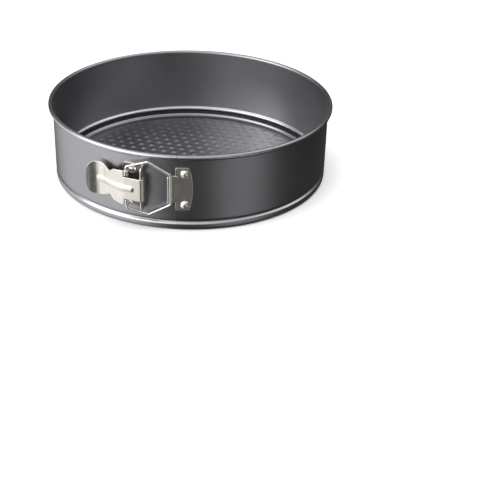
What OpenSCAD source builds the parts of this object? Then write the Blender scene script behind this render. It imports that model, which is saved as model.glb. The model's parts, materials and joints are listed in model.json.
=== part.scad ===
// Springform pan: a sprung side band closed by an over-centre latch, and a loose
// round base plate gripped by the channel at the foot of the band.
// Z is the pan's axis, Z = 0 is its foot, and the latch faces -Y.

/* [Side band] */
// Inner radius of the side wall
wall_r = 120; // [110:1:140]
// Height of the pan from its foot to the top of the rolled rim
pan_h = 67.4; // [64:0.2:80]
// Thickness of the band's sheet
band_t = 0.6; // [0.5:0.05:0.7]
// Outer radius of the rolled rim's tube
roll_r = 2.1; // [1.8:0.1:2.4]
// Depth of the groove that grips the base plate
groove_d = 1.8; // [1.4:0.1:2]
// Height of the groove's deepest line
groove_z = 7.6; // [7.2:0.1:9]
// Width of the flat lip turned in under the base plate
lip_w = 4.2; // [3:0.2:6]
// Angle from the flange to the band's free outer end, in degrees
seam_a = 12.8; // [12.4:0.1:13]
// Angle over which the two ends of the band lie on each other, in degrees
lap_a = 12; // [6:0.5:12]

/* [Base plate] */
// How far the base plate's edge lies inside the wall's radius
base_in = 1.4; // [1.3:0.1:1.6]
// Thickness of the base plate's sheet
base_t = 0.7; // [0.6:0.05:0.8]
// Distance from the base plate's edge to its raised ring
ring_in = 2.3; // [2.2:0.1:3]
// Distance from the base plate's edge to its raised middle field
field_in = 13.2; // [9:0.2:25]

/* [Latch] */
// Height of the latch's centre line above the foot
latch_z = 37.2; // [36:0.2:44]
// Half the height of the bracket's flange and of the catch plate
plate_half = 18.7; // [18:0.1:19]
// Distance of the lever's pivot line outside the wall
pivot_out = 7.6; // [7.4:0.1:8.4]
// Thickness of the latch's plates
latch_t = 1; // [0.8:0.1:1.1]
// Thickness of the lever's sheet
lever_t = 1.1; // [1:0.05:1.2]
// Distance from the pivot line to the loop's barrels, along the wall
barrel_u = 12.6; // [12.2:0.1:13]
// Radius of the loop's wire
wire_r = 1.1; // [1:0.05:1.15]
// Half the height of the lever's rounded finger paddle
paddle_r = 14.5; // [13:0.1:15.5]
// Angle from the flange to the loop's bar in the hook, in degrees
hook_a = 10.4; // [10.2:0.1:10.6]
// Radius of the rivets' domed heads
head_r = 3.7; // [3.2:0.1:3.8]

/* [Hidden] */
$fn = 96;

steel = "#6b6c70";
plated = "#d6d2c8";

// Side band
wall_out = wall_r + band_t;
foot_r = 3;                       // outer radius of the foot's corner
groove_half = 2.6;                // half the height of the groove
seam_gap = 0.15;                  // gap between the two ends at the seam, degrees
lap_gap = 0.1;                    // gap between the lapped sheets
joggle_a = 0.9;                   // width of the step down to the tucked end, degrees
roll_z = pan_h - roll_r;
roll_c = wall_r + roll_r;
roll_end = -125;                  // where the rolled rim's curl stops, degrees
lap_top = roll_z - roll_r - 0.4;  // the tucked end stops below the rolled rim
tuck_in = band_t + lap_gap;
tuck_end = seam_a + seam_gap + joggle_a;
round_fn = 240;                   // facets of the largest revolved shapes
through = 2 * (wall_r + 40);      // long enough to reach right across the pan

// Base plate
base_r = wall_r - base_in;
ring_r = base_r - ring_in;
field_r = base_r - field_in;
base_z = 2 * band_t + lap_gap + 0.1;  // underside of the base's lowest ring
edge_lift = 0.6;
ring_lift = 1.9;
field_lift = 1.1;

// Rivets
rivet_dz = 13.6;                  // half the spacing of a pair of rivets
head_h = 2.1;
shank_r = 1.55;
hole_r = 1.6;
tail_r = 2.4;
tail_h = 0.7;
bracket_rivet_a = -4.6;
catch_rivet_a = 15.6;

// Bracket and its flange
bracket_a = -8.6;
flange_t = 1.2;
pivot_n = wall_out + pivot_out;
web_half = 1.2;                   // half the depth of the web that the lever turns on
tongue_half = 9.6;
slot_half = tongue_half + 0.6;
slot_n = wall_out + 2.8;
flange_corner = 2.5;

// Lever
curl_r = 1.65;                    // inside radius of the lever's curl around the web
curl_end = 140;                   // the curl runs this far past its top, degrees
curl_swell = 0.03;                // the sheet swells a little where it is curled
curl_lap = 0.3;                   // how far the flat sheet runs on into the curl
flat_run = 12;                    // the lever's flat part leans in by flat_a
flat_a = 5;
dip_r = 30;                       // then it dips to dip_a, towards the wall
dip_a = 31;
dip_straight = 9.6;
lift_r = 14;                      // and its paddle lifts away again, by lift_a
lift_a = 30;
tip_run = 4;                      // and runs straight to its tip
paddle_u = 39.6;
paddle_reach = 10;                // from the paddle's tallest point to its tip
paddle_flat = 0.62;               // below 1 the tip is squarer than an ellipse
neck_half = 10.5;
shoulder_half = 13.6;
body_half = 14.9;
barrel_n = pivot_n - 0.8;
barrel_r = 2.2;
barrel_bore_r = wire_r + 0.08;
barrel_in = 10.4;
barrel_out = 14.8;
neck_u = 27.5;                    // the sheet narrows from the shoulder to the neck
shoulder_u = 24.5;
cheek_near = 1.6;                 // the cheeks beside the barrels start and end here
cheek_far = 3.4;
rib_r = 3.1;
rib_from = 8;
rib_to = 38;
rib_rise = 1;

// Wire loop
loop_end = 11;
loop_corner = 18;
loop_wide = 23.2;
loop_bar = 13.1;
bend_r = 1.7;                     // the wire's bends, along its middle line
bend_wire_r = wire_r + 0.04;      // the wire swells a little where it is bent
bend_lap = 0.25;                  // how far a straight runs on into its bend
vertex_share = 0.49;              // the loop's widest point, as a share of its length

// Catch plate and its hook
hook_gap = 0.3;
hook_plate_n = wall_out + 0.3;
bar_n = hook_plate_n + latch_t + hook_gap + wire_r;
trough_r = wire_r + hook_gap;
hook_half = 11.6;
hook_root = 5.5;                  // the hook's strip runs this far on past the bar
lip_h = 0.9;
lip_lean = 11;                    // the lip leans open, so that the bar lifts out freely
catch_start = 12.15;
catch_end = 17.5;
catch_bulge = 2.6;
catch_reach = 12;                 // how far the bulged edge's blank reaches back

pivot = [0, pivot_n];
barrel = [-barrel_u, barrel_n];
hook = bar_n * [sin(hook_a), cos(hook_a)];

// Points of an arc about a centre, from one angle to another
function arc(c, r, from, to, n = 16) =
    [for (i = [0:n]) c + r * [cos(from + (to - from) * i / n), sin(from + (to - from) * i / n)]];

function reversed(points) = [for (i = [len(points) - 1:-1:0]) points[i]];

// How far the groove reaches in at height z
function groove(z) = groove_d * (1 + cos(180 * (z - groove_z) / groove_half)) / 2;

// The band's section from the lip to the wall, at depth d under its outer face
function foot_path(d) = concat(
    [[wall_out - foot_r - lip_w, d]],
    arc([wall_out - foot_r, foot_r], foot_r - d, -90, 0, 8),
    [for (i = [-8:8]) let (z = groove_z + groove_half * i / 8) [wall_out - d - groove(z), z]]
);

// Turns children, drawn with +Y outwards, to an angle right of the flange
module at(a) {
    rotate([0, 0, -a]) children();
}

// Revolves a section from angle a1 to angle a2, right of the flange
module sector(a1, a2) {
    rotate([0, 0, 90 - a2]) rotate_extrude(angle = a2 - a1, $fn = round_fn) children();
}

// Everything is drawn with the latch on +Y, then mirrored to put it on -Y
module front() {
    mirror([0, 1, 0]) children();
}

// A bore along the outward direction, at one angle and height
module radial_hole(a, z) {
    at(a) translate([0, wall_r - 3, z]) rotate([-90, 0, 0]) cylinder(r = hole_r, h = 8);
}

module rivet_holes(a) {
    for (side = [-1, 1]) radial_hole(a, latch_z + side * rivet_dz);
}

module band_section() {
    polygon(concat(
        foot_path(0),
        arc([roll_c, roll_z], roll_r - band_t, 180, roll_end, 40),
        reversed(arc([roll_c, roll_z], roll_r, 180, roll_end, 40)),
        reversed(foot_path(band_t))
    ));
}

// The tucked end: the same foot and wall, under the outer end
module tucked_section(d1, d2) {
    polygon(concat(
        foot_path(d1),
        [[wall_out - d1, lap_top], [wall_out - d2, lap_top]],
        reversed(foot_path(d2))
    ));
}

module side_band() {
    color(steel) front() difference() {
        union() {
            sector(seam_a + seam_gap, seam_a + 360) band_section();
            sector(seam_a - lap_a, tuck_end) tucked_section(tuck_in, tuck_in + band_t);
            sector(seam_a + 2 * seam_gap, tuck_end - seam_gap)
                tucked_section(band_t / 2, tuck_in + band_t / 2);
        }
        rivet_holes(bracket_rivet_a);
        rivet_holes(catch_rivet_a);
    }
}

// The base plate's section, at height h above its underside
function base_path(h) = [
    [0, base_z + field_lift + h],
    [field_r - 0.6, base_z + field_lift + h],
    [field_r + 0.6, base_z + h],
    [ring_r - 2, base_z + h],
    [ring_r - 0.7, base_z + ring_lift + h],
    [ring_r + 0.7, base_z + ring_lift + h],
    [ring_r + 1.5, base_z + edge_lift + h],
    [base_r, base_z + edge_lift + h]
];

module base_plate() {
    color(steel) rotate_extrude($fn = round_fn)
        polygon(concat(base_path(0), reversed(base_path(base_t))));
}

// Domed rivet standing on a plate's face, with its closed tail inside the band
module rivet(a, z) {
    dome_r = (head_r * head_r + head_h * head_h) / (2 * head_h);
    seat = wall_out + latch_t;
    tail_z = wall_r - 0.05 - tail_h - seat;
    lap = 0.2;
    color(plated) front() at(a) translate([0, seat, z]) rotate([-90, 0, 0]) {
        intersection() {
            translate([0, 0, head_h - dome_r]) sphere(r = dome_r, $fn = 64);
            cylinder(r = head_r, h = head_h);
        }
        translate([0, 0, tail_z + lap]) cylinder(r = shank_r, h = -tail_z);
        translate([0, 0, tail_z]) cylinder(r = tail_r, h = tail_h);
    }
}

module bracket_rivet_upper() {
    rivet(bracket_rivet_a, latch_z + rivet_dz);
}

module bracket_rivet_lower() {
    rivet(bracket_rivet_a, latch_z - rivet_dz);
}

module catch_rivet_upper() {
    rivet(catch_rivet_a, latch_z + rivet_dz);
}

module catch_rivet_lower() {
    rivet(catch_rivet_a, latch_z - rivet_dz);
}

// Flange outline, drawn with X outwards and Y up
module flange_outline() {
    tip = pivot_n + web_half;
    difference() {
        union() {
            translate([wall_out + 0.4, -plate_half])
                square([tip - wall_out - 0.4 - flange_corner, 2 * plate_half]);
            translate([wall_out + 0.4, flange_corner - plate_half])
                square([tip - wall_out - 0.4, 2 * (plate_half - flange_corner)]);
            for (side = [-1, 1])
                translate([tip - flange_corner, side * (plate_half - flange_corner)])
                    circle(r = flange_corner);
        }
        translate([slot_n, -slot_half]) square([pivot_n - web_half - slot_n, 2 * slot_half]);
    }
}

module latch_bracket() {
    color(plated) front() difference() {
        union() {
            translate([0, 0, latch_z - plate_half]) sector(bracket_a, 0)
                translate([wall_out, 0]) square([latch_t, 2 * plate_half]);
            translate([flange_t / 2, 0, latch_z]) rotate([90, 0, -90]) mirror([1, 0, 0])
                linear_extrude(flange_t) flange_outline();
        }
        rivet_holes(bracket_rivet_a);
    }
}

// The outward direction of the lever's sheet where it leans in by angle a
function facing(a) = [-sin(a), cos(a)];

// The lever's middle line seen from above, from over the pivot to the paddle's tip,
// at distance d on its outer side
function lever_path(d) =
    let (
        start = pivot + (curl_r + lever_t / 2) * facing(flat_a),
        p1 = start - flat_run * [cos(flat_a), sin(flat_a)],
        c1 = p1 - dip_r * facing(flat_a),
        p2 = c1 + dip_r * facing(dip_a) - dip_straight * [cos(dip_a), sin(dip_a)],
        c2 = p2 + lift_r * facing(dip_a),
        lift_end = c2 - (lift_r - d) * facing(-lift_a)
    )
    concat(
        [start + d * facing(flat_a) + curl_lap * [cos(flat_a), sin(flat_a)]],
        arc(c1, dip_r + d, 90 + flat_a, 90 + dip_a, 12),
        arc(c2, lift_r - d, dip_a - 90, -lift_a - 90, 14),
        [lift_end + tip_run * [-cos(lift_a), sin(lift_a)]]
    );

// Upper half of the lever's outline seen from the front, from the pivot to the tip
function lever_edge() =
    let (
        cheek_1 = -barrel_u - cheek_near,
        neck_a = acos(neck_half / paddle_r)
    )
    concat(
        [[0, tongue_half], [cheek_1, tongue_half], [cheek_1, body_half]],
        [[-barrel_u - cheek_far, body_half], [-shoulder_u, shoulder_half]],
        [[-neck_u, neck_half]],
        [for (i = [0:6]) let (a = neck_a * (1 - i / 6))
            [paddle_r * sin(a) - paddle_u, paddle_r * cos(a)]],
        [for (i = [1:10]) let (a = 90 * i / 10)
            [-paddle_u - paddle_reach * pow(sin(a), paddle_flat), paddle_r * pow(cos(a), paddle_flat)]]
    );

module lever_outline() {
    upper = lever_edge();
    polygon(concat(upper, [for (i = [len(upper) - 2:-1:0]) [upper[i][0], -upper[i][1]]]));
}

module lever_sheet() {
    intersection() {
        linear_extrude(2 * body_half + 2, center = true)
            polygon(concat(lever_path(lever_t / 2), reversed(lever_path(-lever_t / 2))));
        rotate([90, 0, 0]) linear_extrude(through, center = true) lever_outline();
    }
}

// Pressed rib down the middle of the lever, rounded at both ends
module lever_rib() {
    intersection() {
        linear_extrude(2 * rib_r, center = true)
            polygon(concat(lever_path(lever_t / 2 + rib_rise), reversed(lever_path(0))));
        rotate([90, 0, 0]) linear_extrude(through, center = true) {
            translate([-rib_to, -rib_r]) square([rib_to - rib_from, 2 * rib_r]);
            for (u = [rib_from, rib_to]) translate([-u, 0]) circle(r = rib_r);
        }
    }
}

// The sheet's round curl about the pivot, round the bracket's web
module lever_curl() {
    translate(pivot) rotate([0, 0, -curl_end]) rotate_extrude(angle = curl_end + 90 + flat_a)
        translate([curl_r - curl_swell, -tongue_half - curl_swell])
            square([lever_t + 2 * curl_swell, 2 * (tongue_half + curl_swell)]);
}

module barrel_tube(side) {
    translate([barrel[0], barrel[1], side > 0 ? barrel_in : -barrel_out])
        cylinder(r = barrel_r, h = barrel_out - barrel_in);
}

module latch_lever() {
    color(plated) front() translate([0, 0, latch_z]) difference() {
        union() {
            lever_sheet();
            lever_rib();
            lever_curl();
            for (side = [-1, 1]) barrel_tube(side);
        }
        for (side = [-1, 1])
            translate([barrel[0], barrel[1], side * (barrel_in + barrel_out) / 2])
                cylinder(r = barrel_bore_r, h = barrel_out - barrel_in + 1.2, center = true);
    }
}

// The loop's corners in its own plane, along the loop and up, round from one inturned
// end to the other
function loop_corners() =
    let (
        run = norm(hook - barrel),
        half = [
            [0, loop_end], [0, loop_corner], [vertex_share * run, loop_wide], [run, loop_bar]
        ]
    )
    concat([for (p = half) [p[0], -p[1]]], reversed(half));

function heading(p, q) = atan2(q[1] - p[1], q[0] - p[0]);

// How sharply the path turns at point i, in degrees, always to the left
function turn(p, i) =
    let (t = heading(p[i], p[i + 1]) - heading(p[i - 1], p[i]))
    t < 0 ? t + 360 : t;

// How much of a straight is taken by the bend at point i
function bend_cut(p, i) = i == 0 || i == len(p) - 1 ? 0 : bend_r * tan(turn(p, i) / 2) - bend_lap;

// Round wire along a path that turns left at each inner point
module bent_wire(p) {
    for (i = [0:len(p) - 2]) {
        a = heading(p[i], p[i + 1]);
        run = norm(p[i + 1] - p[i]) - bend_cut(p, i) - bend_cut(p, i + 1);
        translate(p[i] + bend_cut(p, i) * [cos(a), sin(a)])
            rotate([0, 0, a]) rotate([0, 90, 0]) cylinder(r = wire_r, h = run, $fn = 48);
    }
    for (i = [1:len(p) - 2]) {
        a = heading(p[i - 1], p[i]);
        start = p[i] - bend_r * tan(turn(p, i) / 2) * [cos(a), sin(a)];
        translate(start + bend_r * [-sin(a), cos(a)]) rotate([0, 0, a - 90])
            rotate_extrude(angle = turn(p, i)) translate([bend_r, 0]) circle(r = bend_wire_r, $fn = 48);
    }
}

module wire_loop() {
    reach = hook - barrel;
    color(plated) front() translate([barrel[0], barrel[1], latch_z])
        rotate([0, 0, atan2(reach[1], reach[0])]) rotate([90, 0, 0]) bent_wire(loop_corners());
}

// Section of the hook, seen from above, with the loop's bar lying in its trough
module hook_section() {
    bar = [0, bar_n];
    turn_end = 180 + lip_lean;
    lip = bar + (trough_r + latch_t / 2) * [cos(turn_end), sin(turn_end)] + lip_h * facing(lip_lean);
    polygon(concat(
        [[hook_root, hook_plate_n]],
        reversed(arc(bar, trough_r + latch_t, turn_end, 270, 12)),
        arc(lip, latch_t / 2, turn_end, lip_lean, 8),
        arc(bar, trough_r, turn_end, 270, 12),
        [[hook_root, hook_plate_n + latch_t]]
    ));
}

module catch_outline() {
    left = wall_out * sin(catch_start);
    right = wall_out * sin(catch_end);
    translate([left, -plate_half]) square([right - left, 2 * plate_half]);
    bulge_r = (plate_half * plate_half + catch_bulge * catch_bulge) / (2 * catch_bulge);
    intersection() {
        translate([right - catch_reach, -plate_half])
            square([catch_reach + catch_bulge, 2 * plate_half]);
        translate([right + catch_bulge - bulge_r, 0]) circle(r = bulge_r, $fn = round_fn);
        translate([left, -plate_half]) square([2 * catch_reach, 2 * plate_half]);
    }
}

module catch_plate() {
    color(plated) front() difference() {
        union() {
            intersection() {
                translate([0, 0, latch_z - plate_half]) sector(catch_start - 2, catch_end + 3)
                    translate([wall_out, 0]) square([latch_t, 2 * plate_half]);
                translate([0, 0, latch_z]) rotate([90, 0, 0])
                    linear_extrude(through, center = true) catch_outline();
            }
            at(hook_a) translate([0, 0, latch_z - hook_half]) linear_extrude(2 * hook_half) hook_section();
        }
        rivet_holes(catch_rivet_a);
    }
}

side_band();
base_plate();
latch_bracket();
bracket_rivet_upper();
bracket_rivet_lower();
latch_lever();
wire_loop();
catch_plate();
catch_rivet_upper();
catch_rivet_lower();
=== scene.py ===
"""Looks of a springform pan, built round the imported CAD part. Lengths are in millimetres
until a mesh is made, and the latch is described by u (right), n (outwards) and z (up)."""
import json
import math

import bmesh
import bpy
import numpy as np
from mathutils import Matrix, Vector


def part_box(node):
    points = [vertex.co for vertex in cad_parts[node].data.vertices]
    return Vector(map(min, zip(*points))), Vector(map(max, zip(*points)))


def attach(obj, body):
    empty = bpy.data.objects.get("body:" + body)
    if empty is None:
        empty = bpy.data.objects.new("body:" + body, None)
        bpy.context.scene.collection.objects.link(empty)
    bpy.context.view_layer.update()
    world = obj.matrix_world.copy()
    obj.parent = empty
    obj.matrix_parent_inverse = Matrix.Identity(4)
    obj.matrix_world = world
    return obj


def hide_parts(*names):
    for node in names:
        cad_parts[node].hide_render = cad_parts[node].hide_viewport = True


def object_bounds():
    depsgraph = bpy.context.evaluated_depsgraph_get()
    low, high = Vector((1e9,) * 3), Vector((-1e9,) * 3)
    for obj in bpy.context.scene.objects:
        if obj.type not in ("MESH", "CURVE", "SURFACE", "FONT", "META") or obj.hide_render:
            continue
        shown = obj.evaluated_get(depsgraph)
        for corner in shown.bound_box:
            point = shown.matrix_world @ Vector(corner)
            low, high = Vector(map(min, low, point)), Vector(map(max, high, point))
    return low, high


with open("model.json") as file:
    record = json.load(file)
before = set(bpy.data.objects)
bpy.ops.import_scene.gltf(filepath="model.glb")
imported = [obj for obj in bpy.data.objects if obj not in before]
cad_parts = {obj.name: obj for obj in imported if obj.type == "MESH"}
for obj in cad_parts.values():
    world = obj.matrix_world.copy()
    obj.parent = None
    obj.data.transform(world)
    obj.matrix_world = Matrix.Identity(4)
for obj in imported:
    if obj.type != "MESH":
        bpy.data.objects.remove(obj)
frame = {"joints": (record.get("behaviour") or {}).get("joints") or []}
cad_low, cad_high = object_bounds()

MM = 0.001
RIGHT_ANGLE = math.pi / 2


def box_mm(node):
    low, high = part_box(node)
    return np.array(low) / MM, np.array(high) / MM


# Sizes taken from the frame
band_high = box_mm("side_band")[1]
base_low, base_high = box_mm("base_plate")
bracket_low, bracket_high = box_mm("latch_bracket")
joint_place = {
    j["name"]: np.array(j["pos_m"]) / MM for j in frame["joints"] if "pos_m" in j
}
pivot = np.array([joint_place["lever_hinge"][0], -joint_place["lever_hinge"][1]])
barrel = np.array([joint_place["loop_hinge"][0], -joint_place["loop_hinge"][1]])
latch_z = joint_place["lever_hinge"][2]

# Side band
BAND_T = 0.6
ROLL_R = 2.1
FOOT_R = 3.0
LIP_W = 4.2
GROOVE_Z = 7.6
GROOVE_D = 1.8
GROOVE_HALF = 2.6
# positions and widths of the painted highlights, partly rubbed wear, on the rim's crest, the bead
# and the inner step
CREST_WEAR_SHEEN = 0.45
SHOULDER_DROP = 1.5
SHOULDER_WEAR_SHEEN = 0.95
STEP_RISE = 1.2
STEP_WEAR_SHEEN = 0.9
# where and how wide the painted shade in the crease above the bead lies
CREASE_SHADE_RISE = 0.9
CREASE_SHADE_WIDTH = 1.1
SEAM_A = 12.8
LAP_A = 12.0
SEAM_GAP = 0.15
JOGGLE_A = 0.9
LAP_GAP = 0.1
ROLL_END = -125
pan_h = band_high[2]
wall_r = band_high[0] - 2 * ROLL_R
wall_out = wall_r + BAND_T
roll_c = wall_r + ROLL_R
roll_z = pan_h - ROLL_R

# Base plate
BASE_T = 0.7
EDGE_LIFT = 0.6
RING_LIFT = 1.9
FIELD_LIFT = 1.1
RING_IN = 2.3
FIELD_IN = 13.2
DIMPLE_PITCH = 9.9
DIMPLE_R = 4.3
DIMPLE_H = 0.7
DIMPLE_TURN = 2.4
DIMPLE_SHIFT = (-2.4, 2.5)
FIELD_EDGE = 0.7
# widths of the painted highlights, partly rubbed wear, on the base's ring and the field's edge
RIDGE_WEAR_SHEEN = 0.8
FIELD_WEAR_SHEEN = 0.9
# where the painted shade in the gap outside the ring starts
GAP_SHADE_FROM = 0.8
base_r = base_high[0]
ring_r = base_r - RING_IN
field_r = base_r - FIELD_IN
base_z = base_low[2]

# Latch
LATCH_T = 1.0
LEVER_T = 1.1
WIRE_R = 1.1
CURL_R = 1.65
CURL_END = 140
FLAT_RUN = 12
FLAT_A = 5
DIP_R = 30
DIP_A = 31
DIP_STRAIGHT = 9.6
LIFT_R = 14
LIFT_A = 30
TIP_RUN = 4
PADDLE_U = 39.6
PADDLE_R = 14.5
PADDLE_REACH = 10
PADDLE_FLAT = 0.62
TONGUE_HALF = 9.6
BODY_HALF = 14.9
SHOULDER_HALF = 13.6
NECK_HALF = 10.5
SHOULDER_U = 24.5
NECK_U = 27.5
CHEEK_NEAR = 1.6
CHEEK_FAR = 3.4
RIB_R = 3.1
RIB_RISE = 1
RIB_FROM = 8
RIB_TO = 38
BARREL_R = 2.2
BARREL_IN = 10.4
BARREL_OUT = 14.8
WEB_HALF = 1.2
SLOT_GAP = 0.6
SLOT_OUT = 2.8
FLANGE_CORNER = 2.5
LOOP_END = 11
LOOP_CORNER = 18
LOOP_WIDE = 23.2
LOOP_BAR = 13.1
LOOP_BEND_R = 1.7
VERTEX_SHARE = 0.49
HOOK_A = 10.4
HOOK_HALF = 11.6
HOOK_GAP = 0.3
HOOK_ROOT = 5.5
LIP_H = 0.9
LIP_LEAN = 11
CATCH_START = 12.15
CATCH_END = 17.5
CATCH_BULGE = 2.6
BRACKET_A = 8.6
RIVET_A = {"bracket": -4.6, "catch": 15.6}
RIVET_DZ = 13.6
HEAD_R = 3.7
HEAD_H = 2.1
SHANK_R = 1.55
TAIL_R = 2.4
TAIL_H = 0.7
plate_half = (bracket_high[2] - bracket_low[2]) / 2
barrel_u = -barrel[0]
hook_plate_n = wall_out + HOOK_GAP
bar_n = hook_plate_n + LATCH_T + HOOK_GAP + WIRE_R
hook = bar_n * np.array([math.sin(math.radians(HOOK_A)), math.cos(math.radians(HOOK_A))])


# ---------------------------------------------------------------- materials


def new_material(name):
    material = bpy.data.materials.new(name)
    material.use_nodes = True
    return material, material.node_tree, material.node_tree.nodes["Principled BSDF"]


def node(tree, kind, inputs=None, **settings):
    made = tree.nodes.new(kind)
    for key, value in settings.items():
        setattr(made, key, value)
    for key, value in (inputs or {}).items():
        if isinstance(value, bpy.types.NodeSocket):
            tree.links.new(value, made.inputs[key])
        else:
            made.inputs[key].default_value = value
    return made


def object_coords(tree, scale=(1, 1, 1)):
    coords = node(tree, "ShaderNodeTexCoord")
    mapped = node(tree, "ShaderNodeMapping", {"Vector": coords.outputs["Object"], "Scale": scale})
    return mapped.outputs["Vector"]


def noise(tree, coords, scale, detail=3.0, roughness=0.55):
    inputs = {"Vector": coords, "Scale": scale, "Detail": detail, "Roughness": roughness}
    return node(tree, "ShaderNodeTexNoise", inputs).outputs["Fac"]


def spread(tree, value, low, high, to_low, to_high):
    inputs = {
        "Value": value, "From Min": low, "From Max": high, "To Min": to_low, "To Max": to_high
    }
    return node(tree, "ShaderNodeMapRange", inputs).outputs["Result"]


def maths(tree, operation, a, b):
    return node(tree, "ShaderNodeMath", {0: a, 1: b}, operation=operation).outputs["Value"]


def mixed(tree, factor, a, b, blend_type="MIX"):
    made = node(tree, "ShaderNodeMix", data_type="RGBA", blend_type=blend_type)
    for socket, value in zip((made.inputs[0], made.inputs[6], made.inputs[7]), (factor, a, b)):
        if isinstance(value, bpy.types.NodeSocket):
            tree.links.new(value, socket)
        else:
            socket.default_value = value
    return made.outputs[2]


def grey(value, tint=(1, 1, 1)):
    return (value * tint[0], value * tint[1], value * tint[2], 1)


def bump(tree, height, distance, strength, onto=None):
    inputs = {"Height": height, "Distance": distance, "Strength": strength}
    if onto is not None:
        inputs["Normal"] = onto
    return node(tree, "ShaderNodeBump", inputs).outputs["Normal"]


def scratches(tree, coords, scale, width):
    """Fine broken lines: the narrow band where a stretched noise crosses its middle."""
    wavy = noise(tree, coords, scale, detail=1.5)
    off_middle = maths(tree, "ABSOLUTE", maths(tree, "SUBTRACT", wavy, 0.5), 0.0)
    return spread(tree, off_middle, 0.0, width, 1.0, 0.0)


def coating_material(name, shade, roughness, wear_sheen_strength):
    """Satin non-stick coating with a fine metallic grain, lightened by rubbed wear and painted
    highlights along marked edges, and darkened by painted shade in marked creases.
    """
    material, tree, bsdf = new_material(name)
    coords = object_coords(tree)
    cool = (0.98, 0.985, 1.03)
    smudge = noise(tree, coords, 14, detail=4)
    grain = noise(tree, coords, 2400, detail=2, roughness=0.7)
    peel = noise(tree, coords, 420, detail=2)
    fine = scratches(tree, object_coords(tree, (1, 1, 9)), 55, 0.006)
    wear_and_sheen = node(tree, "ShaderNodeAttribute", attribute_name="wear_and_sheen").outputs["Fac"]
    crease_shade = node(tree, "ShaderNodeAttribute", attribute_name="crease_shade").outputs["Fac"]
    patchy = maths(tree, "MULTIPLY", wear_and_sheen, spread(tree, noise(tree, coords, 160), 0.35, 0.6, 0.7, 1))

    base = mixed(tree, spread(tree, smudge, 0.3, 0.7, 0, 1), grey(shade * 0.93, cool),
                 grey(shade * 1.06, cool))
    base = mixed(tree, spread(tree, grain, 0.35, 0.75, 0, 0.35), base, grey(shade * 1.45, cool))
    base = mixed(tree, maths(tree, "MULTIPLY", fine, 0.12), base, grey(shade * 1.5, cool))
    # rubbed wear and painted highlights: lighter along the marked rims, ridges and dimple tops
    base = mixed(tree, maths(tree, "MULTIPLY", patchy, wear_sheen_strength), base, grey(0.62, cool))
    # painted shade: darker along the marked creases and gaps
    base = mixed(tree, maths(tree, "MULTIPLY", crease_shade, 0.85), base, grey(0.03))
    tree.links.new(base, bsdf.inputs["Base Color"])
    rough = spread(tree, smudge, 0.3, 0.7, roughness - 0.035, roughness + 0.035)
    rough = maths(tree, "SUBTRACT", rough, maths(tree, "MULTIPLY", patchy, 0.1))
    tree.links.new(rough, bsdf.inputs["Roughness"])
    surface = bump(tree, peel, 0.00004, 0.35)
    surface = bump(tree, grain, 0.000008, 0.5, surface)
    tree.links.new(surface, bsdf.inputs["Normal"])
    bsdf.inputs["Metallic"].default_value = 1.0
    return material


def plated_material(name, shade, roughness, tint=(1.0, 0.965, 0.89)):
    """Bright plated steel with handling marks, drawn-sheet grain and small pits, darkened by
    painted shade where a recess is marked as shadowed."""
    material, tree, bsdf = new_material(name)
    coords = object_coords(tree)
    smudge = noise(tree, coords, 90, detail=5, roughness=0.6)
    drawn = noise(tree, object_coords(tree, (1, 1, 14)), 260, detail=3, roughness=0.65)
    pits = noise(tree, coords, 1500, detail=2, roughness=0.7)
    lines = scratches(tree, object_coords(tree, (2, 2, 11)), 120, 0.01)

    base = mixed(tree, spread(tree, smudge, 0.3, 0.7, 0, 1), grey(shade * 0.9, tint),
                 grey(shade * 1.04, tint))
    base = mixed(tree, spread(tree, drawn, 0.3, 0.75, 0, 0.25), base, grey(shade * 0.8, tint))
    base = mixed(tree, maths(tree, "MULTIPLY", lines, 0.25), base, grey(shade * 0.62, tint))
    recess_shade = node(tree, "ShaderNodeAttribute", attribute_name="recess_shade").outputs["Fac"]
    patchy = maths(tree, "MULTIPLY", recess_shade, spread(tree, smudge, 0.3, 0.6, 0.75, 1))
    # painted shade: the marked wall plate is darkened as if shadowed by the lever
    base = mixed(tree, patchy, base, grey(0.09))
    tree.links.new(base, bsdf.inputs["Base Color"])
    rough = spread(tree, smudge, 0.3, 0.7, roughness - 0.05, roughness + 0.07)
    rough = maths(tree, "ADD", rough, maths(tree, "MULTIPLY", patchy, 0.12))
    tree.links.new(rough, bsdf.inputs["Roughness"])
    surface = bump(tree, drawn, 0.00003, 0.25)
    surface = bump(tree, pits, 0.000012, 0.4, surface)
    surface = bump(tree, lines, 0.00001, 0.3, surface)
    tree.links.new(surface, bsdf.inputs["Normal"])
    bsdf.inputs["Metallic"].default_value = 0.93
    return material


band_coating = coating_material("band_coating", 0.33, 0.34, 0.9)
base_coating = coating_material("base_coating", 0.275, 0.28, 0.9)
plated_steel = plated_material("plated_steel", 0.78, 0.2)
rivet_steel = plated_material("rivet_steel", 0.84, 0.16)
loop_wire = plated_material("loop_wire", 0.84, 0.17, tint=(1.0, 0.98, 0.94))


# ------------------------------------------------------------ mesh building


def soft_step(x, low, high):
    t = np.clip((np.asarray(x, float) - low) / (high - low), 0, 1)
    return t * t * (3 - 2 * t)


def near(values, at, width):
    """One at a value, fading smoothly to nothing on both sides of it."""
    return np.exp(-((values - at) / width) ** 2)


def arc(centre, radius, start, end, count):
    """Points of an arc, from one angle to another in degrees."""
    a = np.radians(np.linspace(start, end, count))
    return np.array(centre) + radius * np.column_stack([np.cos(a), np.sin(a)])


def normals_of(path):
    """Unit normals to the left of a path in a plane."""
    ahead = np.gradient(path, axis=0)
    ahead /= np.linalg.norm(ahead, axis=1)[:, None]
    return np.column_stack([-ahead[:, 1], ahead[:, 0]])


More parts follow.
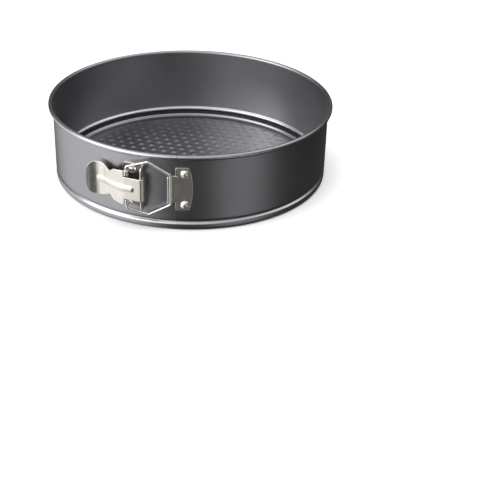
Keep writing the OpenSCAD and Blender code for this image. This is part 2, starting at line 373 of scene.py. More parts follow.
def loft(rows, closed=False):
    """Vertices and faces of a skin over loops of equal length. Unless it closes on itself
    the two end loops are filled."""
    rows = np.asarray(rows, float)
    count, around = rows.shape[:2]
    faces = []
    for i in range(count if closed else count - 1):
        here, there = i * around, ((i + 1) % count) * around
        for j in range(around):
            k = (j + 1) % around
            faces.append((here + j, here + k, there + k, there + j))
    if not closed:
        last = (count - 1) * around
        for j in range(around // 2 - 1):
            across = around - 1 - j
            for start in (0, last):
                faces.append((start + j, start + j + 1, start + across - 1, start + across))
    return rows.reshape(-1, 3), faces


def ring_place(r, angle, z):
    """A point at radius r and height z, at an angle in degrees right of the latch's flange."""
    a = np.radians(angle)
    return np.stack(np.broadcast_arrays(r * np.sin(a), -r * np.cos(a), z), axis=-1)


def latch_place(u, n, z):
    return np.stack(np.broadcast_arrays(u, -np.asarray(n, float), z), axis=-1)


def piece(name, parts, material, body, cad_node, marks=None, sharp=38):
    """One object made of closed shells, riding on a body in place of a CAD node. marks are
    values at its points, by name, that its material reads."""
    vertices, faces, start = [], [], 0
    for points, polygons in parts:
        vertices.append(points)
        faces.extend(tuple(start + i for i in polygon) for polygon in polygons)
        start += len(points)
    mesh = bpy.data.meshes.new(name)
    mesh.from_pydata((np.concatenate(vertices) * MM).tolist(), [], faces)
    work = bmesh.new()
    work.from_mesh(mesh)
    bmesh.ops.recalc_face_normals(work, faces=work.faces[:])
    work.to_mesh(mesh)
    work.free()
    for mark, values in (marks or {}).items():
        layer = mesh.attributes.new(mark, "FLOAT", "POINT")
        layer.data.foreach_set("value", np.asarray(values, np.float32))
    mesh.polygons.foreach_set("use_smooth", [True] * len(mesh.polygons))
    mesh.set_sharp_from_angle(angle=math.radians(sharp))
    mesh.materials.append(material)
    made = bpy.data.objects.new(name, mesh)
    bpy.context.scene.collection.objects.link(made)
    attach(made, body)
    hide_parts(cad_node)
    return made


# ---------------------------------------------------------------- side band


def groove(z):
    """How far the gripping groove reaches inwards at height z."""
    near = np.abs(z - GROOVE_Z) < GROOVE_HALF
    return np.where(near, GROOVE_D * (1 + np.cos(np.pi * (z - GROOVE_Z) / GROOVE_HALF)) / 2, 0)


def foot_path():
    """Middle line of the band's sheet from the turned-in lip up to the top of the groove."""
    middle = BAND_T / 2
    corner = arc((wall_out - FOOT_R, FOOT_R), FOOT_R - middle, -90, 0, 9)
    lip = [(wall_out - FOOT_R - LIP_W, middle), (wall_out - FOOT_R - LIP_W / 2, middle)]
    rise = np.linspace(GROOVE_Z - GROOVE_HALF, GROOVE_Z + GROOVE_HALF, 21)
    channel = np.column_stack([wall_out - middle - groove(rise), rise])
    return np.concatenate([lip, corner, channel])


def sheet_loop(path, thickness):
    """Loop round a thin sheet with a rounded edge at each end of its middle line."""
    side = normals_of(path) * thickness / 2
    start, end = path[0], path[-1]
    tip = thickness * 0.35
    begin = start - (path[1] - path[0]) / np.linalg.norm(path[1] - path[0]) * tip * 0.6
    finish = end + (path[-1] - path[-2]) / np.linalg.norm(path[-1] - path[-2]) * tip * 0.6
    left = np.concatenate([[begin + side[0] * 0.5], path + side, [finish + side[-1] * 0.5]])
    right = np.concatenate([[begin - side[0] * 0.5], path - side, [finish - side[-1] * 0.5]])
    return np.concatenate([left, right[::-1]])


def band_shell():
    wall_z = np.linspace(GROOVE_Z + GROOVE_HALF + 1.5, roll_z - 1, 16)
    wall = np.column_stack([np.full(len(wall_z), wall_out - BAND_T / 2), wall_z])
    roll = arc((roll_c, roll_z), ROLL_R - BAND_T / 2, 180, ROLL_END, 34)
    loop = sheet_loop(np.concatenate([foot_path(), wall, roll]), BAND_T)
    angles = np.concatenate([
        np.linspace(SEAM_A + SEAM_GAP, SEAM_A + 14, 29),
        np.linspace(SEAM_A + 15, SEAM_A + 346, 332),
        np.linspace(SEAM_A + 347, SEAM_A + 360, 27),
    ])
    rows = np.stack([ring_place(loop[:, 0], a, loop[:, 1]) for a in angles])
    outside = loop[:, 0] > wall_out - BAND_T / 2 - groove(loop[:, 1])
    # painted highlights, partly rubbed wear, on the roll's crest, the bead and the inner step
    crest = near(loop[:, 0], roll_c + ROLL_R, CREST_WEAR_SHEEN)
    bead = near(loop[:, 1], GROOVE_Z - SHOULDER_DROP, SHOULDER_WEAR_SHEEN) * outside
    step = near(loop[:, 1], GROOVE_Z + STEP_RISE, STEP_WEAR_SHEEN) * ~outside
    wear_and_sheen = np.maximum(np.maximum(crest, bead), step)
    # painted shade in the crease above the bead
    crease_shade = near(loop[:, 1], GROOVE_Z + CREASE_SHADE_RISE, CREASE_SHADE_WIDTH) * outside
    return loft(rows), np.tile(wear_and_sheen, len(angles)), np.tile(crease_shade, len(angles))


def tucked_shell():
    """The end of the band that lies inside the other, and its step back out to the wall."""
    lap_top = roll_z - ROLL_R - 0.4
    wall_z = np.linspace(GROOVE_Z + GROOVE_HALF + 1.5, lap_top, 12)
    wall = np.column_stack([np.full(len(wall_z), wall_out - BAND_T / 2), wall_z])
    path = np.concatenate([foot_path(), wall])
    inwards = normals_of(path)
    angles = np.concatenate([
        np.linspace(SEAM_A - LAP_A, SEAM_A - 0.4, 24),
        np.linspace(SEAM_A - 0.2, SEAM_A + SEAM_GAP + JOGGLE_A, 12),
    ])
    depth = (BAND_T + LAP_GAP) * (1 - soft_step(angles, SEAM_A, SEAM_A + SEAM_GAP + JOGGLE_A))
    rows = []
    for a, d in zip(angles, depth):
        loop = sheet_loop(path + inwards * max(d, 0.02), BAND_T * 0.98)
        rows.append(ring_place(loop[:, 0], a, loop[:, 1]))
    return loft(rows)


def build_band():
    outer, wear_and_sheen, crease_shade = band_shell()
    tucked = tucked_shell()
    plain = np.zeros(len(tucked[0]))
    marks = {"wear_and_sheen": np.concatenate([wear_and_sheen, plain]), "crease_shade": np.concatenate([crease_shade, plain])}
    piece("side_band_sheet", [outer, tucked], band_coating, "pan", "side_band",
          marks=marks)


# --------------------------------------------------------------- base plate


def base_profile(r):
    """Height of the base plate's upper face above its lowest ring."""
    field = FIELD_LIFT * (1 - soft_step(r, field_r - FIELD_EDGE, field_r + FIELD_EDGE))
    ring_up = soft_step(r, ring_r - 2.3, ring_r - 0.4)
    ring_down = soft_step(r, ring_r + 0.4, ring_r + 1.7)
    return field + RING_LIFT * ring_up - (RING_LIFT - EDGE_LIFT) * ring_down


def dimples(x, y):
    """Rounded bumps on a triangular lattice over the middle field."""
    turn = math.radians(DIMPLE_TURN)
    p = x * math.cos(turn) + y * math.sin(turn) - DIMPLE_SHIFT[0]
    q = y * math.cos(turn) - x * math.sin(turn) - DIMPLE_SHIFT[1]
    row_gap = DIMPLE_PITCH * math.sqrt(3) / 2
    height = np.zeros_like(x)
    nearest = np.round(q / row_gap)
    for shift in (-1, 0, 1):
        row = nearest + shift
        offset = np.where(row % 2 == 0, 0, DIMPLE_PITCH / 2)
        cx = np.round((p - offset) / DIMPLE_PITCH) * DIMPLE_PITCH + offset
        cy = row * row_gap
        away = np.hypot(p - cx, q - cy)
        inside = np.hypot(cx + DIMPLE_SHIFT[0], cy + DIMPLE_SHIFT[1]) < field_r - DIMPLE_R
        bump_here = 0.5 + 0.5 * np.cos(np.pi * np.clip(away / DIMPLE_R, 0, 1))
        height = np.maximum(height, np.where(inside, bump_here, 0))
    return DIMPLE_H * height


def build_base():
    """Rings of points, six more on each, carry the dimples evenly; outside them the rings
    keep one count."""
    step = 0.93
    field_rings = int(field_r // step)
    outline = np.concatenate([
        np.arange(field_rings + 1) * step,
        np.linspace(field_rings * step + 0.5, base_r - 0.12, 34),
        [base_r, base_r],
    ])
    counts = [1] + [6 * min(k, field_rings) for k in range(1, len(outline))]
    starts = np.concatenate([[0], np.cumsum(counts)])
    top = []
    for r, count in zip(outline, counts):
        a = np.arange(count) * 2 * np.pi / count
        top.append(np.column_stack([r * np.sin(a), -r * np.cos(a)]))
    flat = np.concatenate(top)
    radius = np.hypot(flat[:, 0], flat[:, 1])
    height = base_z + base_profile(radius) + dimples(flat[:, 0], flat[:, 1])
    rounding = np.zeros(len(flat))
    rounding[starts[-3]:starts[-2]] = 0.15
    rounding[starts[-2]:] = 0.3
    upper = np.column_stack([flat, height + BASE_T - rounding])
    lower = np.column_stack([flat, height + rounding])
    faces = []
    for k in range(len(outline) - 2):
        inner, outer = counts[k], counts[k + 1]
        a0, b0 = int(starts[k]), int(starts[k + 1])
        if inner == outer:
            for j in range(inner):
                n = (j + 1) % inner
                faces.append((a0 + j, a0 + n, b0 + n, b0 + j))
            continue
        for sector in range(6):
            for j in range(k + 1):
                outer_here = b0 + (sector * (k + 1) + j) % outer
                outer_next = b0 + (sector * (k + 1) + j + 1) % outer
                inner_here = a0 + (sector * k + j) % inner
                faces.append((inner_here, outer_next, outer_here))
                if j < k:
                    inner_next = a0 + (sector * k + j + 1) % inner
                    faces.append((inner_here, inner_next, outer_next))
    rim = int(starts[-3])
    keep = int(starts[-2])
    upper, lower = upper[:keep], lower[:keep]
    faces = [f for f in faces if max(f) < keep]
    faces += [tuple(i + keep for i in reversed(f)) for f in faces]
    around = counts[-3]
    for j in range(around):
        n = (j + 1) % around
        faces.append((rim + j, rim + n, keep + rim + n, keep + rim + j))
    points = np.concatenate([upper, lower])
    away = np.hypot(points[:, 0], points[:, 1])
    # painted highlights, partly rubbed wear, on the ring, the field's edge and the dimple tops
    ridge = near(away, ring_r + 0.2, RIDGE_WEAR_SHEEN)
    shoulder = near(away, field_r - FIELD_WEAR_SHEEN, FIELD_WEAR_SHEEN)
    tops = np.clip(dimples(points[:, 0], points[:, 1]) / DIMPLE_H, 0, 1) ** 3
    marks = {
        "wear_and_sheen": np.maximum(np.maximum(ridge, 0.8 * shoulder), 0.2 * tops),
        # painted shade in the gap outside the ring
        "crease_shade": soft_step(away, ring_r + GAP_SHADE_FROM, ring_r + 2 * GAP_SHADE_FROM),
    }
    piece("base_sheet", [(points, faces)], base_coating, "base", "base_plate",
          marks=marks, sharp=60)


# -------------------------------------------------------------- latch lever


def plate_loop(path, side, half, thickness, lift, columns, edge=0.28):
    """Loops round a sheet of varying half width, along a path in (u, n). lift(u, z) raises
    both faces, and the sheet's long edges are rounded."""
    corner = np.radians(np.linspace(15, 75, 3))
    h = thickness / 2
    loops = []
    for (u, n), (su, sn), w in zip(path, side, half):
        e = min(edge, w * 0.5)
        z = columns * (w - e)
        rise = lift(u, z)
        edge_z = w - e + e * np.sin(corner)
        edge_n = h - e + e * np.cos(corner)
        end_rise = lift(u, np.array([w]))[0]
        z_all = np.concatenate([z, edge_z, edge_z[::-1], z[::-1], -edge_z, -edge_z[::-1]])
        n_all = np.concatenate([
            h + rise, edge_n + end_rise, end_rise - edge_n[::-1],
            rise[::-1] - h, end_rise - edge_n, end_rise + edge_n[::-1],
        ])
        # the left edge's corners run from the lower face back up to the upper one
        loops.append(np.column_stack([u + su * n_all, n + sn * n_all, z_all]))
    return np.array(loops)


def facing(a):
    """The direction out of the lever's sheet where it leans in by an angle in degrees."""
    return np.array([-math.sin(math.radians(a)), math.cos(math.radians(a))])


def straight_on(start, a, length, count):
    """Points that run on from the curl towards the paddle, leaning in by an angle."""
    ahead = np.array([-math.cos(math.radians(a)), -math.sin(math.radians(a))])
    return start + np.outer(np.linspace(0, length, count)[1:], ahead)


def lever_path():
    curl = arc(pivot, CURL_R + LEVER_T / 2, -CURL_END, 90 + FLAT_A, 40)
    flat = straight_on(curl[-1], FLAT_A, FLAT_RUN, 16)
    dip = arc(flat[-1] - DIP_R * facing(FLAT_A), DIP_R, 90 + FLAT_A, 90 + DIP_A, 44)[1:]
    slope = straight_on(dip[-1], DIP_A, DIP_STRAIGHT, 14)
    lift_c = slope[-1] + LIFT_R * facing(DIP_A)
    lift = arc(lift_c, LIFT_R, DIP_A - 90, -LIFT_A - 90, 48)[1:]
    tip = straight_on(lift[-1], -LIFT_A, TIP_RUN, 8)
    return np.concatenate([curl, flat, dip, slope, lift, tip])


def lever_half_width(u):
    """Half the lever's height at distance u left of the pivot."""
    a = -u
    cheek = barrel_u + CHEEK_NEAR
    cheeks = np.interp(
        a, [cheek, cheek + 0.35, barrel_u + CHEEK_FAR, SHOULDER_U, NECK_U, PADDLE_U],
        [TONGUE_HALF, BODY_HALF, BODY_HALF, SHOULDER_HALF, NECK_HALF, NECK_HALF]
    )
    disc = PADDLE_R * np.sqrt(np.clip(1 - ((a - PADDLE_U) / PADDLE_R) ** 2, 0, None))
    power = 2 / PADDLE_FLAT
    past = np.clip((a - PADDLE_U) / PADDLE_REACH, 0, 1)
    tip = PADDLE_R * (1 - past ** power) ** (1 / power)
    return np.where(a > PADDLE_U, tip, np.maximum(cheeks, disc))


def lever_lift(u, z):
    """The pressed rib along the lever's middle."""
    past = np.maximum(0, np.maximum(RIB_FROM + u, -u - RIB_TO))
    away = np.hypot(z, past)
    return RIB_RISE * (1 - soft_step(away, 0.7, RIB_R))


def barrel_shell(side):
    """Knuckle curled round the loop's end, open by a narrow slit towards the pan."""
    slit = 9
    inner, outer = WIRE_R + 0.1, BARREL_R
    z0, z1 = BARREL_IN, BARREL_OUT
    e = 0.22
    section = np.array([
        (inner + e, z0), (outer - e, z0), (outer, z0 + e), (outer, z1 - e),
        (outer - e, z1), (inner + e, z1), (inner, z1 - e), (inner, z0 + e),
    ])
    rows = []
    for a in np.radians(np.linspace(-90 + slit, 270 - slit, 41)):
        u = barrel[0] + section[:, 0] * math.cos(a)
        n = barrel[1] + section[:, 0] * math.sin(a)
        rows.append(latch_place(u, n, latch_z + side * section[:, 1]))
    return loft(rows)


def build_lever():
    path = lever_path()
    side = normals_of(path)
    # outwards is to the right of a path that runs from the curl to the paddle
    along = np.sign(np.sum(side[len(side) // 2] * np.array([0, 1])))
    side = side * along
    steps = np.concatenate([[0], np.cumsum(np.linalg.norm(np.diff(path, axis=0), axis=1))])
    tip_a = PADDLE_U + PADDLE_REACH * np.sin(np.linspace(0, RIGHT_ANGLE, 40)) ** PADDLE_FLAT
    past_curl = steps > steps[-1] / 3
    tip = np.interp(tip_a, -path[past_curl, 0], steps[past_curl])
    fine = np.concatenate([np.arange(0, tip[0] - 0.2, 0.4), tip])
    path = np.column_stack([np.interp(fine, steps, path[:, k]) for k in (0, 1)])
    side = np.column_stack([np.interp(fine, steps, side[:, k]) for k in (0, 1)])
    side /= np.linalg.norm(side, axis=1)[:, None]
    half = lever_half_width(path[:, 0])
    waist = (path[:, 0] < -barrel_u - CHEEK_FAR - 1) & (path[:, 0] > -PADDLE_U)
    weights = np.hanning(11)[1:-1]
    eased = np.convolve(np.pad(half, 4, mode="edge"), weights / weights.sum(), "valid")
    half = np.where(waist, eased, half)
    half = np.maximum(half, 0.7)
    spread_columns = np.linspace(-1, 1, 45)
    columns = np.sign(spread_columns) * np.abs(spread_columns) ** 1.25
    loops = plate_loop(path, side, half, LEVER_T, lever_lift, columns)
    rows = latch_place(loops[..., 0], loops[..., 1], latch_z + loops[..., 2])
    piece("lever_plate", [loft(rows), barrel_shell(1), barrel_shell(-1)], plated_steel,
          "lever", "latch_lever")


# ---------------------------------------------------------------- wire loop


def bent_path(corners, radius):
    """A polyline with its corners rounded, as closely spaced points."""
    points = [corners[0]]
    for before, here, after in zip(corners, corners[1:], corners[2:]):
        into = (here - before) / np.linalg.norm(here - before)
        out = (after - here) / np.linalg.norm(after - here)
        turn = math.acos(np.clip(into @ out, -1, 1))
        cut = radius * math.tan(turn / 2)
        left = np.array([-into[1], into[0]]) * np.sign(into[0] * out[1] - into[1] * out[0])
        centre = here - into * cut + left * radius
        for a in np.linspace(0, turn, 10):
            points.append(centre - left * radius * math.cos(a) + into * radius * math.sin(a))
    points.append(corners[-1])
    return np.array(points)


def build_loop():
    run = np.linalg.norm(hook - barrel)
    half = [(0, LOOP_END), (0, LOOP_CORNER), (VERTEX_SHARE * run, LOOP_WIDE), (run, LOOP_BAR)]
    corners = [np.array((s, -z)) for s, z in half] + [np.array((s, z)) for s, z in half[::-1]]
    path = bent_path(corners, LOOP_BEND_R)
    side = normals_of(path)
    ahead = (hook - barrel) / run
    out = np.array([-ahead[1], ahead[0]])
    around = np.radians(np.arange(24) * 15)
    chamfer = 0.25
    first = (path[1] - path[0]) / np.linalg.norm(path[1] - path[0])
    last = (path[-1] - path[-2]) / np.linalg.norm(path[-1] - path[-2])
    stations = np.concatenate([[path[0]], [path[0] + first * chamfer], path[1:-1],
                               [path[-1] - last * chamfer], [path[-1]]])
    sides = np.concatenate([[side[0]], [side[0]], side[1:-1], [side[-1]], [side[-1]]])
    radii = np.full(len(stations), WIRE_R)
    radii[[0, -1]] = WIRE_R - chamfer
    rows = []
    for (s, z), (ds, dz), r in zip(stations, sides, radii):
        across = r * np.cos(around)
        off = r * np.sin(around)
        s_all, z_all = s + ds * across, z + dz * across
        u = barrel[0] + ahead[0] * s_all + out[0] * off
        n = barrel[1] + ahead[1] * s_all + out[1] * off
        rows.append(latch_place(u, n, latch_z + z_all))
    piece("loop_wire", [loft(rows)], loop_wire, "loop", "wire_loop", sharp=50)


# ------------------------------------------------------- bracket and catch


def rounded(corners, count=7):
    """A closed outline from (x, y, corner radius) triples."""
    points = []
    size = len(corners)
    for i in range(size):
        before, here, after = (np.array(corners[(i + k) % size][:2], float) for k in (-1, 0, 1))
        radius = corners[i][2]
        if radius <= 0:
            points.append(here)
            continue
        into = (here - before) / np.linalg.norm(here - before)
        out = (after - here) / np.linalg.norm(after - here)
        turn = math.acos(np.clip(into @ out, -1, 1))
        cut = radius * math.tan(turn / 2)
        left = np.array([-into[1], into[0]]) * np.sign(into[0] * out[1] - into[1] * out[0])
        centre = here - into * cut + left * radius
        for a in np.linspace(0, turn, count):
            points.append(centre - left * radius * math.cos(a) + into * radius * math.sin(a))
    return np.array(points)


def cut_sheet(outlines, thickness, slices, edge=0.2):
    """A flat blank with rounded edges, cut across at the given x so that it can be bent.
    Returns its points and faces; z is 0 on its middle."""
    curve = bpy.data.curves.new("blank", "CURVE")
    curve.dimensions = "2D"
    curve.fill_mode = "BOTH"
    curve.extrude = thickness / 2 - edge
    curve.bevel_depth = edge
    curve.bevel_resolution = 2
    curve.offset = -edge
    for outline in outlines:
        spline = curve.splines.new("POLY")
        spline.points.add(len(outline) - 1)
        for point, (x, y) in zip(spline.points, outline):
            point.co = (x, y, 0, 1)
        spline.use_cyclic_u = True
    blank = bpy.data.objects.new("blank", curve)
    bpy.context.scene.collection.objects.link(blank)
    graph = bpy.context.evaluated_depsgraph_get()
    mesh = bpy.data.meshes.new_from_object(blank.evaluated_get(graph))
    bpy.data.objects.remove(blank)
    bpy.data.curves.remove(curve)
    work = bmesh.new()
    work.from_mesh(mesh)
    bmesh.ops.remove_doubles(work, verts=work.verts[:], dist=0.002)
    for x in slices:
        geometry = work.verts[:] + work.edges[:] + work.faces[:]
        bmesh.ops.bisect_plane(work, geom=geometry, plane_co=(x, 0, 0), plane_no=(1, 0, 0))
    work.verts.index_update()
    points = np.array([v.co[:] for v in work.verts])
    faces = [tuple(v.index for v in f.verts) for f in work.faces]
    work.free()
    bpy.data.meshes.remove(mesh)
    return points, faces


def build_bracket():
    """Wall plate and flange bent from one sheet. x runs along the sheet: below zero on the
    wall, above it outwards along the flange."""
    bend_r = 1.1
    bend_arc = bend_r * RIGHT_ANGLE
    middle_r = wall_out + LATCH_T / 2
    flange_n = middle_r + bend_r
    tip = -bracket_low[1] - flange_n
    wall_x = -bend_arc - (middle_r * math.radians(BRACKET_A) - bend_r)
    slot_half = TONGUE_HALF + SLOT_GAP
    slot_in = wall_out + SLOT_OUT - flange_n
    slot_out = pivot[1] - WEB_HALF - flange_n
    outline = rounded([
        (wall_x, -plate_half, 2.2), (tip, -plate_half, FLANGE_CORNER),
        (tip, plate_half, FLANGE_CORNER), (wall_x, plate_half, 2.2),
    ], count=12)
    slot = rounded([
        (slot_in, -slot_half, 0.5), (slot_in, slot_half, 0.5),
        (slot_out, slot_half, 0.5), (slot_out, -slot_half, 0.5),
    ])
    slices = np.concatenate([
        np.arange(wall_x + 1, -bend_arc, 1.0), np.linspace(-bend_arc, 0, 9),
    ])
    points, faces = cut_sheet([outline, slot], LATCH_T, slices)
    x, z, h = points.T
    turn = np.clip((x + bend_arc) / bend_r, 0, RIGHT_ANGLE)
    along = np.minimum(x + bend_arc, 0)
    angle = (along - bend_r) / middle_r
    wall = np.column_stack([(middle_r + h) * np.sin(angle), (middle_r + h) * np.cos(angle)])
    centre = np.array([-bend_r, flange_n])
    bend = centre + (bend_r - h)[:, None] * np.column_stack([np.sin(turn), -np.cos(turn)])
    flange = np.column_stack([-h, flange_n + x])
    place = np.where((x < -bend_arc)[:, None], wall, np.where((x > 0)[:, None], flange, bend))
    points = latch_place(place[:, 0], place[:, 1], latch_z + z)
    # painted shade over the wall plate, as if it lay in the lever's shadow
    edge_away = np.minimum(plate_half - np.abs(z), x - wall_x)
    marks = {"recess_shade": 0.9 * (x < -bend_arc) * soft_step(edge_away, 0.1, 0.5)}
    piece("bracket_plate", [(points, faces)], plated_steel, "pan", "latch_bracket",
          marks=marks, sharp=30)


def build_catch():
    middle_r = wall_out + LATCH_T / 2
    left = wall_out * math.sin(math.radians(CATCH_START))
    right = wall_out * math.sin(math.radians(CATCH_END))
    bulge_r = (plate_half ** 2 + CATCH_BULGE ** 2) / (2 * CATCH_BULGE)
    bulge_a = math.degrees(math.asin((plate_half - 2.4) / bulge_r))
    bulge = arc((right + CATCH_BULGE - bulge_r, 0), bulge_r, -bulge_a, bulge_a, 25)
    corner = bulge[-1]
    outline = np.concatenate([
        rounded([(left, plate_half, 0), (left, -plate_half, 1.0),
                 (corner[0] - 1.2, -plate_half, 0), (corner[0], -corner[1], 0)])[1:],
        bulge[1:-1],
        [(corner[0], corner[1]), (corner[0] - 1.2, plate_half)],
        rounded([(left, -plate_half, 0), (corner[0], plate_half, 0), (left, plate_half, 1.0)])[2:],
    ])
    slices = np.arange(left + 1, right + CATCH_BULGE, 1.0)
    points, faces = cut_sheet([outline], LATCH_T, slices)
    u, z, h = points.T
    angle = np.arcsin(u / middle_r)
    points = latch_place((middle_r + h) * np.sin(angle), (middle_r + h) * np.cos(angle), latch_z + z)
    trough = WIRE_R + HOOK_GAP + LATCH_T / 2
    path = np.concatenate([
        [(HOOK_ROOT, hook_plate_n + LATCH_T / 2), (HOOK_ROOT / 2, hook_plate_n + LATCH_T / 2)],
        arc((0, bar_n), trough, 270, 180 + LIP_LEAN, 14),
    ])
    lip = path[-1] + np.outer([LIP_H / 2, LIP_H, LIP_H + LATCH_T * 0.4], facing(LIP_LEAN))
    path = np.concatenate([path, lip])
    side = normals_of(path)
    half = np.full(len(path), HOOK_HALF, float)
    half[-1] = HOOK_HALF - 0.5
    columns = np.linspace(-1, 1, 13)
    loops = plate_loop(path, side, half, LATCH_T, lambda u, z: np.zeros(len(z)), columns)
    a = math.radians(HOOK_A)
    u = loops[..., 0] * math.cos(a) + loops[..., 1] * math.sin(a)
    n = loops[..., 1] * math.cos(a) - loops[..., 0] * math.sin(a)
    strip = loft(latch_place(u, n, latch_z + loops[..., 2]))
    piece("catch_plate_and_hook", [(points, faces), strip], plated_steel, "pan",
          "catch_plate", sharp=30)


# ------------------------------------------------------------------- rivets


def rivet_profile():
    """Radius and height from the head's crown to the closed tail."""
    dome_r = (HEAD_R ** 2 + HEAD_H ** 2) / (2 * HEAD_H)
    dome_a = np.linspace(0, math.asin(HEAD_R / dome_r) * 0.985, 18)
    dome = np.column_stack([dome_r * np.sin(dome_a), HEAD_H - dome_r * (1 - np.cos(dome_a))])
    tail_top = wall_r - 0.05 - wall_out - LATCH_T
    tail = tail_top - TAIL_H
    return np.concatenate([
        dome, [(HEAD_R, 0.12), (HEAD_R - 0.1, 0), (SHANK_R + 0.1, 0), (SHANK_R, -0.1)],
        [(SHANK_R, tail_top), (TAIL_R - 0.15, tail_top), (TAIL_R, tail_top - 0.2),
         (TAIL_R - 0.25, tail + 0.05), (TAIL_R - 0.6, tail), (0, tail + 0.15)],
    ])


def build_rivet(cad_node, angle, z):
    profile = rivet_profile()
    a = math.radians(angle)
    out = np.array([math.sin(a), -math.cos(a), 0])
    across = np.array([math.cos(a), math.sin(a), 0])
    up = np.array([0, 0, 1])
    seat = out * (wall_out + LATCH_T) + up * z
    count = 36
    points = [seat + out * profile[0][1]]
    for r, h in profile[1:-1]:
        for t in np.linspace(0, 2 * np.pi, count, endpoint=False):
            points.append(seat + out * h + across * r * math.cos(t) + up * r * math.sin(t))
    points.append(seat + out * profile[-1][1])
    faces = []
    rings = len(profile) - 2
    for j in range(count):
        n = (j + 1) % count
        faces.append((0, 1 + j, 1 + n))
        for k in range(rings - 1):
            here, there = 1 + k * count, 1 + (k + 1) * count
            faces.append((here + j, there + j, there + n, here + n))
        last = 1 + (rings - 1) * count
        faces.append((last + j, len(points) - 1, last + n))
    piece(cad_node + "_domed", [(np.array(points), faces)], rivet_steel, "pan", cad_node,
          sharp=45)


build_band()
build_base()
build_lever()
build_loop()
build_bracket()
build_catch()
for place, angle in RIVET_A.items():
    build_rivet(place + "_rivet_upper", angle, latch_z + RIVET_DZ)
    build_rivet(place + "_rivet_lower", angle, latch_z - RIVET_DZ)


# ------------------------------------------------------- floor, light, view

FLOOR_HALF = 40.0
FLOOR_CELLS = 20
CAMERA_TURN = 18
CAMERA_FAR = 0.85999
CAMERA_HIGH = 0.40975
CAMERA_LENS = 74.88
CAMERA_YAW, CAMERA_PITCH, CAMERA_ROLL = (math.radians(a) for a in (3.26, -4.57, 0.47))


def turned(x, y, z=0.0):
    """A place or direction given as the camera sees it: x right, y away from it."""
    return Matrix.Rotation(math.radians(CAMERA_TURN), 3, "Z") @ Vector((x, y, z))


def build_camera():
    at = Vector((0, -CAMERA_FAR, CAMERA_HIGH))
    ahead = -at.normalized()
    right = Vector((1, 0, 0))
    up = right.cross(ahead)
    ahead, right = (
        math.cos(CAMERA_YAW) * ahead + math.sin(CAMERA_YAW) * right,
        math.cos(CAMERA_YAW) * right - math.sin(CAMERA_YAW) * ahead,
    )
    ahead, up = (
        math.cos(CAMERA_PITCH) * ahead + math.sin(CAMERA_PITCH) * up,
        math.cos(CAMERA_PITCH) * up - math.sin(CAMERA_PITCH) * ahead,
    )
    right, up = (
        math.cos(CAMERA_ROLL) * right + math.sin(CAMERA_ROLL) * up,
        math.cos(CAMERA_ROLL) * up - math.sin(CAMERA_ROLL) * right,
    )
    data = bpy.data.cameras.new("camera")
    data.sensor_width = 36
    data.lens = CAMERA_LENS
    data.clip_start, data.clip_end = 0.01, 100
    camera = bpy.data.objects.new("camera", data)
    aim = Matrix((right, up, -ahead)).transposed().to_4x4()
    turn = Matrix.Rotation(math.radians(CAMERA_TURN), 4, "Z")
    camera.matrix_world = turn @ (Matrix.Translation(at) @ aim)
    bpy.context.scene.collection.objects.link(camera)
    bpy.context.scene.camera = camera


def build_floor():
    work = bmesh.new()
    bmesh.ops.create_grid(work, x_segments=FLOOR_CELLS, y_segments=FLOOR_CELLS, size=FLOOR_HALF)
    mesh = bpy.data.meshes.new("floor")
    work.to_mesh(mesh)
    work.free()
    material, tree, bsdf = new_material("floor_paper")
    coords = object_coords(tree)
    base = mixed(tree, noise(tree, coords, 3), grey(0.86), grey(0.88))
    tree.links.new(base, bsdf.inputs["Base Color"])
    bsdf.inputs["Roughness"].default_value = 0.9
    bsdf.inputs["Specular IOR Level"].default_value = 0.1
    mesh.materials.append(material)
    floor = bpy.data.objects.new("floor", mesh)
    floor.location.z = cad_low.z
    floor.visible_glossy = False
    bpy.context.scene.collection.objects.link(floor)


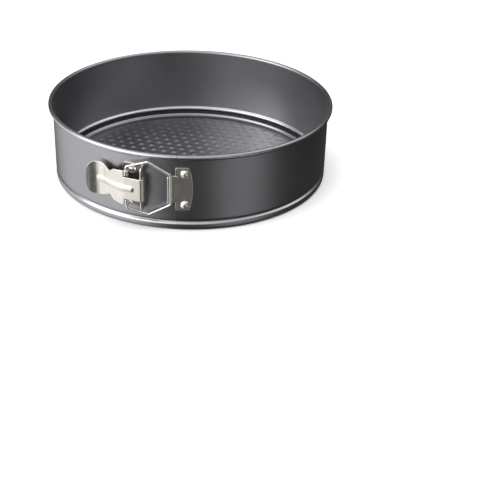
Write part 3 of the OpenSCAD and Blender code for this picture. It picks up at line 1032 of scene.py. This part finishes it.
def area_light(name, place, aim, size, power, in_reflections=True):
    data = bpy.data.lights.new(name, "AREA")
    data.shape = "RECTANGLE"
    data.size, data.size_y = size
    data.energy = power
    light = bpy.data.objects.new(name, data)
    light.location = place
    light.rotation_mode = "QUATERNION"
    light.rotation_quaternion = (Vector(aim) - Vector(place)).to_track_quat("-Z", "Y")
    light.visible_glossy = in_reflections
    bpy.context.scene.collection.objects.link(light)


def facing_lobe(tree, direction, towards, low, high, strength):
    """Brightness that rises smoothly as a direction turns towards a given one."""
    inputs = {0: direction, 1: Vector(towards).normalized()}
    turned_to = node(tree, "ShaderNodeVectorMath", inputs, operation="DOT_PRODUCT")
    made = node(tree, "ShaderNodeMapRange", {
        "Value": turned_to.outputs["Value"], "From Min": low, "From Max": high,
        "To Min": 0, "To Max": strength,
    }, interpolation_type="SMOOTHSTEP")
    return made.outputs["Result"]


def build_world():
    """Soft studio surroundings: bright on the left and overhead, dim low on the right."""
    world = bpy.data.worlds.new("studio")
    world.use_nodes = True
    bpy.context.scene.world = world
    tree = world.node_tree
    direction = node(tree, "ShaderNodeTexCoord").outputs["Generated"]
    lobes = [
        facing_lobe(tree, direction, turned(-1.0, 0.0, -0.4), 0.45, 0.95, 1.05),
        facing_lobe(tree, direction, turned(-0.78, -0.55, 0.4), 0.66, 1.0, 2.4),
        facing_lobe(tree, direction, turned(0.66, -0.72, -0.35), 0.86, 1.0, 0.42),
        facing_lobe(tree, direction, turned(-0.1, 0.2, 1.0), 0.58, 1.0, 1.1),
        facing_lobe(tree, direction, turned(0.2, -0.75, 0.7), 0.75, 1.0, 0.7),
        facing_lobe(tree, direction, turned(0.7, 0.15, 0.75), 0.8, 1.0, 1.25),
    ]
    total = 0.05
    for lobe in lobes:
        total = maths(tree, "ADD", lobe, total)
    tree.links.new(total, tree.nodes["Background"].inputs["Strength"])
    tree.nodes["Background"].inputs["Color"].default_value = (1, 1, 1, 1)


build_camera()
build_floor()
build_world()
area_light("overhead_fill", turned(0, 0.2, 2.6), (0, 0, 0), (3.2, 3.2), 70, in_reflections=False)
area_light("left_softbox", turned(-1.6, -0.3, 1.0), (0, 0, 0.03), (1.2, 1.0), 8)
bpy.context.scene.view_settings.view_transform = "Standard"
